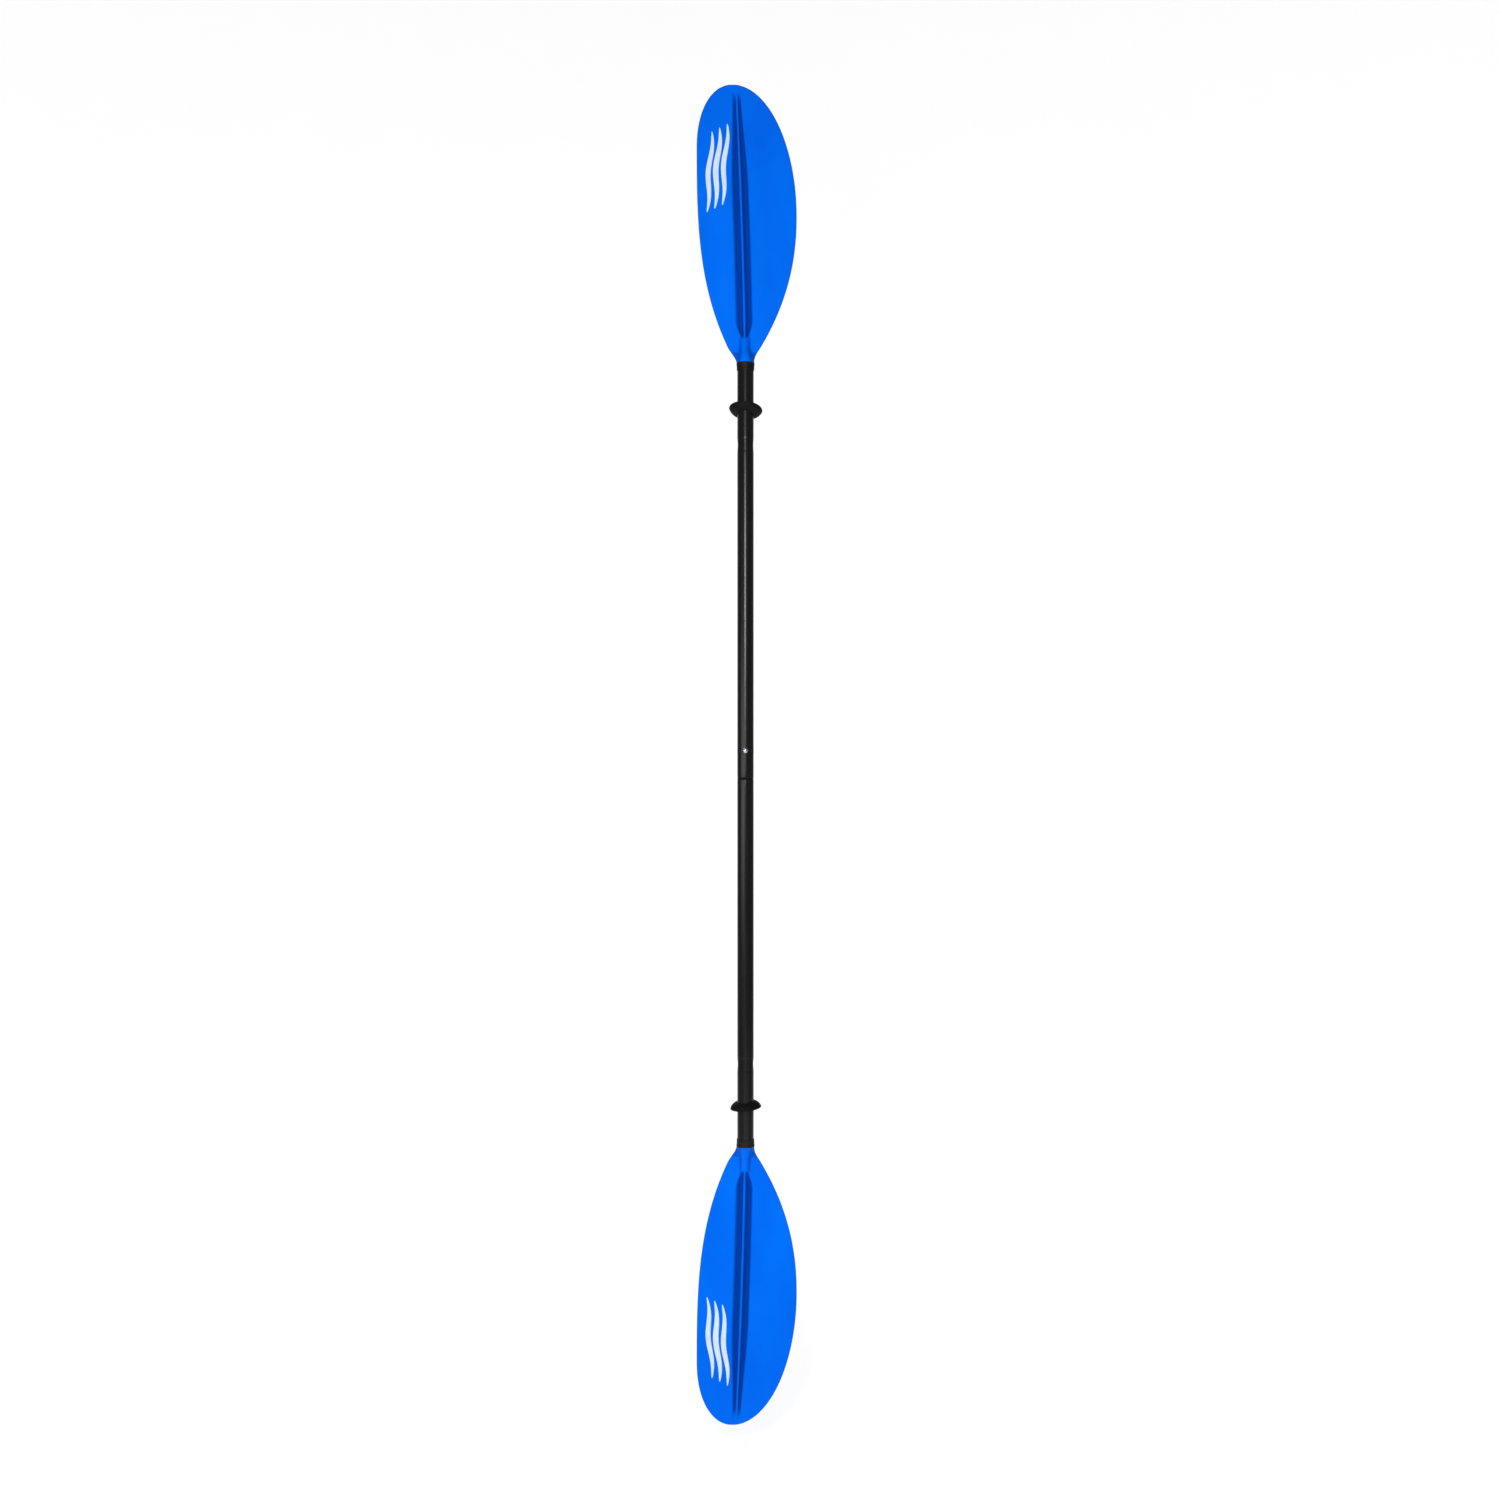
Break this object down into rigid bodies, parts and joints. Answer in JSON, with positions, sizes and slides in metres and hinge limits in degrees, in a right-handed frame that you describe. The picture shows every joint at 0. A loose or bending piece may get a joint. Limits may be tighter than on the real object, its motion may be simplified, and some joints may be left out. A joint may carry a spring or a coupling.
{
  "type": "kayak paddle",
  "caption": "Take-apart kayak paddle: tubular shaft with a sprung-button joint, feathering holes, sliding drip rings and asymmetric blades with a fluted rib.",
  "frame": {"origin": "on the shaft's axis, where the lower tube's plain wall ends at the take-apart seam", "axes": "+Z along the shaft towards the socket half and its blade; -Y is the side the power faces look to; +X towards the blades' short edges"},
  "size_m": [0.1696, 0.0555, 2.2594],
  "materials": {
    "blade_plastic": "bright blue moulded fibre-filled polypropylene, satin gloss",
    "shaft_finish": "satin black coated aluminium tube",
    "collar_plastic": "dull black moulded plastic",
    "ring_rubber": "dull dark grey soft rubber",
    "seal_rubber": "black rubber",
    "plug_foam": "off-white closed-cell foam",
    "ferrule_plastic": "smooth black glass-filled plastic",
    "button_steel": "polished stainless steel",
    "spring_steel": "bright spring steel strip"
  },
  "bodies": {
    "lower_half": {"lower_tube": "shaft_finish", "lower_blade": "blade_plastic", "lower_collar": "collar_plastic", "lower_tang_seal": "seal_rubber", "lower_foam_plug": "plug_foam", "ferrule": "ferrule_plastic", "button_spring": "spring_steel"},
    "seam_ring": {"joint_ring": "seal_rubber"},
    "upper_half": {"upper_tube": "shaft_finish", "upper_blade": "blade_plastic", "upper_collar": "collar_plastic", "upper_tang_seal": "seal_rubber", "upper_foam_plug": "plug_foam"},
    "button": {"snap_button": "button_steel"},
    "upper_ring": {"upper_drip_ring": "ring_rubber"},
    "lower_ring": {"lower_drip_ring": "ring_rubber"}
  },
  "joints": [
    {"name": "feather", "type": "hinge", "parent": "lower_half", "child": "seam_ring", "pos_m": [0, 0, 0], "axis": [0, 0, 1], "range_deg": [-60, 60], "deforming": ["snap_button", "button_spring"]},
    {"name": "pull_apart", "type": "slide", "parent": "seam_ring", "child": "upper_half", "axis": [0, 0, 1], "range_m": [0, 0.12], "deforming": ["snap_button", "button_spring"]},
    {"name": "button_press", "type": "slide", "parent": "lower_half", "child": "button", "axis": [0, 1, 0], "range_m": [0, 0.0042], "stiffness_N_per_m": 2500, "springref_m": -0.002, "deforming": ["button_spring"]},
    {"name": "upper_ring_slide", "type": "slide", "parent": "upper_half", "child": "upper_ring", "axis": [0, 0, 1], "range_m": [-0.05, 0.045]},
    {"name": "lower_ring_slide", "type": "slide", "parent": "lower_half", "child": "lower_ring", "axis": [0, 0, 1], "range_m": [-0.035, 0.05]}
  ]
}
